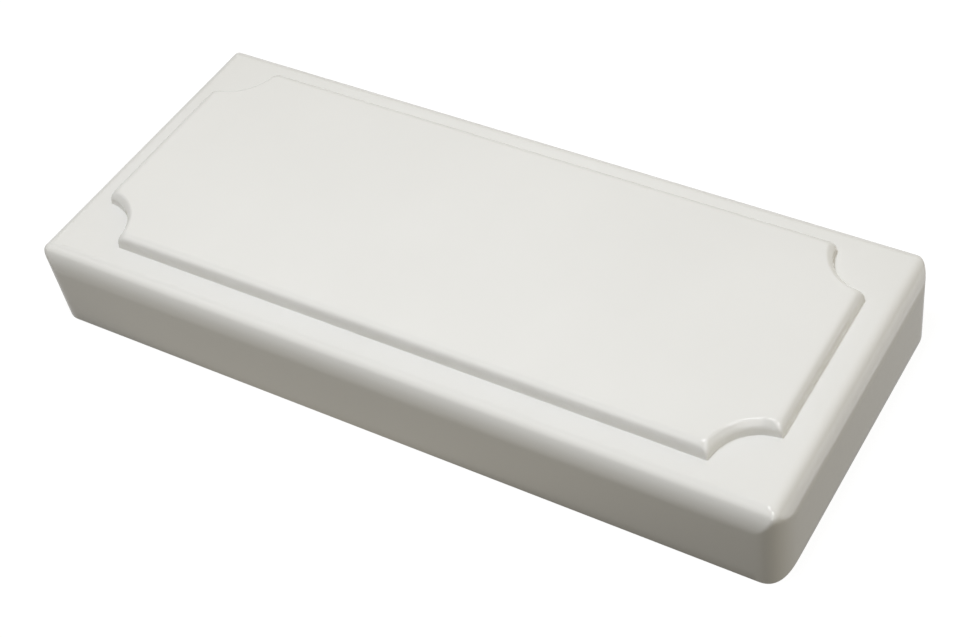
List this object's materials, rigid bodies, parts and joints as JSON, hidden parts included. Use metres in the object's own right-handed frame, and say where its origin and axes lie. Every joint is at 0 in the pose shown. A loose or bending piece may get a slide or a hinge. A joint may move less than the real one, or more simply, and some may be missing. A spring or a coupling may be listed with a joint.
{
  "type": "architrave plinth block",
  "caption": "Rectangular painted plinth block for the foot of a door architrave, with rounded edges and a raised panel whose corners are scooped.",
  "frame": {"origin": "centre of the flat back, which is the underside as the block lies in the picture", "axes": "+X along the block's length, +Y across its width, +Z out of the decorated face"},
  "size_m": [0.2, 0.085, 0.0272],
  "materials": {
    "enamel": "warm white satin enamel on milled fibreboard"
  },
  "bodies": {
    "root": {"plinth_block": "enamel"}
  },
  "joints": []
}
